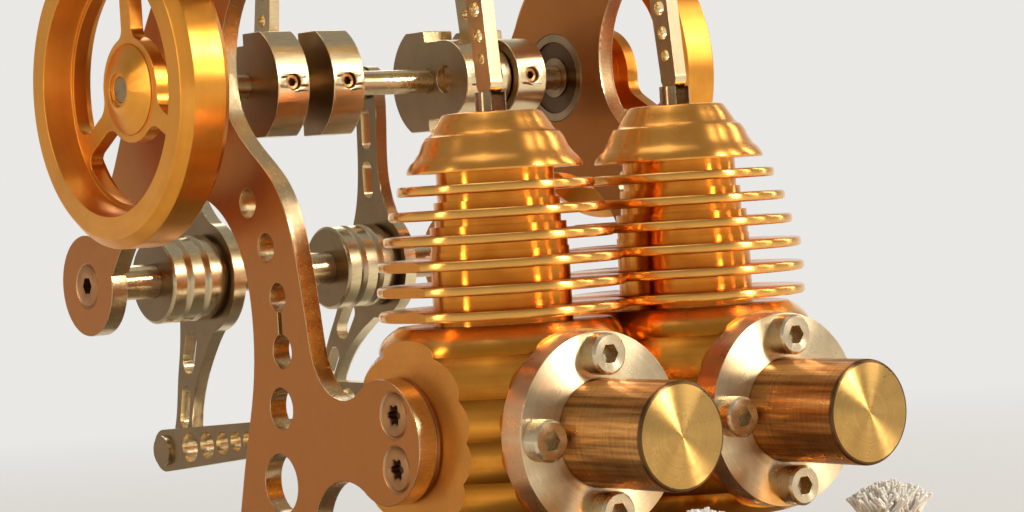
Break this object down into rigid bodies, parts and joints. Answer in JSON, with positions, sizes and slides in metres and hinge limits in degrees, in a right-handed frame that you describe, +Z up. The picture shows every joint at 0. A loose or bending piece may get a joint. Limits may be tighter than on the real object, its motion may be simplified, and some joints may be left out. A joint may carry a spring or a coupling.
{
  "type": "stirling engine",
  "caption": "Desktop hot air engine with side-by-side finned brass cylinders, open crank, rocking beams, spoked flywheels and spirit burners on a steel base.",
  "frame": {"origin": "centre of the base's outline, at the underside of the feet", "axes": "+X along the crankshaft, -Y towards the hot caps and burners, +Z up"},
  "size_m": [0.14, 0.208, 0.1729],
  "materials": {
    "brass": "turned and polished brass",
    "bright_steel": "turned and milled steel, fine tool marks",
    "plate_steel": "satin steel plate with bright cut edges",
    "flange_steel": "turned steel",
    "tinted_steel": "polished steel, straw tinted by heat, turned end",
    "screw_steel": "bright steel screws",
    "base_steel": "satin steel plate",
    "aluminium": "turned aluminium",
    "cotton": "frayed cotton",
    "foot_rubber": "black rubber"
  },
  "bodies": {
    "frame": {"base_plate": "base_steel", "beam_shaft": "bright_steel", "centre_spacer": "bright_steel", "feet": "foot_rubber", "left_bearing": "bright_steel", "left_burner_tank": "brass", "left_cylinder_block": "brass", "left_cylinder_head": "brass", "left_cylinder_spacer": "bright_steel", "left_flange_screws": "screw_steel", "left_hot_cap": "tinted_steel", "left_hot_flange": "flange_steel", "left_plate_screws": "screw_steel", "left_rod_gland": "brass", "left_side_plate": "plate_steel", "left_wick": "cotton", "lever_shaft": "bright_steel", "plate_feet": "bright_steel", "right_bearing": "bright_steel", "right_burner_tank": "brass", "right_cylinder_block": "brass", "right_cylinder_head": "brass", "right_cylinder_spacer": "bright_steel", "right_flange_screws": "screw_steel", "right_hot_cap": "tinted_steel", "right_hot_flange": "flange_steel", "right_plate_screws": "screw_steel", "right_rod_gland": "brass", "right_side_plate": "plate_steel", "right_wick": "cotton", "shaft_screws": "screw_steel", "tie_bars": "bright_steel"},
    "crank": {"crankshaft": "bright_steel", "left_crank_webs": "bright_steel", "right_crank_webs": "bright_steel", "left_flywheel": "brass", "right_flywheel": "brass"},
    "left_crank_rod": {"left_crank_rod": "bright_steel"},
    "left_displacer_link": {"left_displacer_link": "bright_steel"},
    "left_beam": {"left_beam": "bright_steel"},
    "left_piston_link": {"left_piston_link": "bright_steel"},
    "left_piston": {"left_piston": "bright_steel"},
    "left_lever": {"left_lever": "bright_steel"},
    "left_displacer_bar": {"left_displacer_bar": "bright_steel"},
    "left_displacer": {"left_displacer": "aluminium"},
    "right_crank_rod": {"right_crank_rod": "bright_steel"},
    "right_displacer_link": {"right_displacer_link": "bright_steel"},
    "right_beam": {"right_beam": "bright_steel"},
    "right_piston_link": {"right_piston_link": "bright_steel"},
    "right_piston": {"right_piston": "bright_steel"},
    "right_lever": {"right_lever": "bright_steel"},
    "right_displacer_bar": {"right_displacer_bar": "bright_steel"},
    "right_displacer": {"right_displacer": "aluminium"}
  },
  "joints": [
    {"name": "crank_spin", "type": "hinge", "parent": "frame", "child": "crank", "pos_m": [0, 0.028, 0.1214], "axis": [1, 0, 0], "continuous": true},
    {"name": "left_crank_rod_swing", "type": "hinge", "parent": "crank", "child": "left_crank_rod", "pos_m": [-0.02295, 0.0342, 0.1214], "axis": [1, 0, 0], "continuous": true},
    {"name": "left_displacer_link_swing", "type": "hinge", "parent": "crank", "child": "left_displacer_link", "pos_m": [-0.02045, 0.0342, 0.1214], "axis": [1, 0, 0], "continuous": true},
    {"name": "right_crank_rod_swing", "type": "hinge", "parent": "crank", "child": "right_crank_rod", "pos_m": [0.01855, 0.0218, 0.1214], "axis": [1, 0, 0], "continuous": true},
    {"name": "right_displacer_link_swing", "type": "hinge", "parent": "crank", "child": "right_displacer_link", "pos_m": [0.02105, 0.0218, 0.1214], "axis": [1, 0, 0], "continuous": true},
    {"name": "left_beam_rock", "type": "hinge", "parent": "frame", "child": "left_beam", "pos_m": [-0.01715, -0.005, 0.163], "axis": [1, 0, 0], "range_deg": [-10.83, 10.83]},
    {"name": "right_beam_rock", "type": "hinge", "parent": "frame", "child": "right_beam", "pos_m": [0.02435, -0.005, 0.163], "axis": [1, 0, 0], "range_deg": [-10.83, 10.83]},
    {"name": "left_piston_link_swing", "type": "hinge", "parent": "left_beam", "child": "left_piston_link", "pos_m": [-0.02075, -0.029, 0.163], "axis": [1, 0, 0], "range_deg": [-10.83, 10.83]},
    {"name": "right_piston_link_swing", "type": "hinge", "parent": "right_beam", "child": "right_piston_link", "pos_m": [0.02075, -0.029, 0.163], "axis": [1, 0, 0], "range_deg": [-10.83, 10.83]},
    {"name": "left_piston_slide", "type": "slide", "parent": "frame", "child": "left_piston", "axis": [0, 0, 1], "range_m": [-0.00454, 0.00454]},
    {"name": "right_piston_slide", "type": "slide", "parent": "frame", "child": "right_piston", "axis": [0, 0, 1], "range_m": [-0.00454, 0.00454]},
    {"name": "left_lever_swing", "type": "hinge", "parent": "frame", "child": "left_lever", "pos_m": [-0.01735, 0.068, 0.0854], "axis": [1, 0, 0], "range_deg": [0, 19.07]},
    {"name": "right_lever_swing", "type": "hinge", "parent": "frame", "child": "right_lever", "pos_m": [0.02415, 0.068, 0.0854], "axis": [1, 0, 0], "range_deg": [-19.07, 0]},
    {"name": "left_displacer_slide", "type": "slide", "parent": "frame", "child": "left_displacer", "axis": [0, 1, 0], "range_m": [0, 0.01036]},
    {"name": "right_displacer_slide", "type": "slide", "parent": "frame", "child": "right_displacer", "axis": [0, 1, 0], "range_m": [-0.01036, 0]},
    {"name": "left_displacer_bar_swing", "type": "hinge", "parent": "left_displacer", "child": "left_displacer_bar", "pos_m": [-0.02075, 0.00207, 0.058], "axis": [1, 0, 0], "range_deg": [0, 4.6]},
    {"name": "right_displacer_bar_swing", "type": "hinge", "parent": "right_displacer", "child": "right_displacer_bar", "pos_m": [0.02075, 0.01243, 0.058], "axis": [1, 0, 0], "range_deg": [-4.6, 0]}
  ],
  "couplings": [
    {"joint": "left_crank_rod_swing", "follows": "crank_spin", "ratio": -1},
    {"joint": "left_displacer_link_swing", "follows": "crank_spin", "ratio": -1},
    {"joint": "right_crank_rod_swing", "follows": "crank_spin", "ratio": -1},
    {"joint": "right_displacer_link_swing", "follows": "crank_spin", "ratio": -1},
    {"joint": "right_beam_rock", "follows": "left_beam_rock", "ratio": -1},
    {"joint": "left_piston_link_swing", "follows": "left_beam_rock", "ratio": -1},
    {"joint": "right_piston_link_swing", "follows": "left_beam_rock", "ratio": 1},
    {"joint": "left_piston_slide", "follows": "left_beam_rock", "m_per_rad": -0.024},
    {"joint": "right_piston_slide", "follows": "left_beam_rock", "m_per_rad": 0.024},
    {"joint": "right_lever_swing", "follows": "left_lever_swing", "ratio": -1},
    {"joint": "left_displacer_slide", "follows": "left_lever_swing", "m_per_rad": 0.031112},
    {"joint": "right_displacer_slide", "follows": "left_lever_swing", "m_per_rad": -0.031112},
    {"joint": "left_displacer_bar_swing", "follows": "left_lever_swing", "ratio": 0.24089},
    {"joint": "right_displacer_bar_swing", "follows": "left_lever_swing", "ratio": -0.24089}
  ]
}
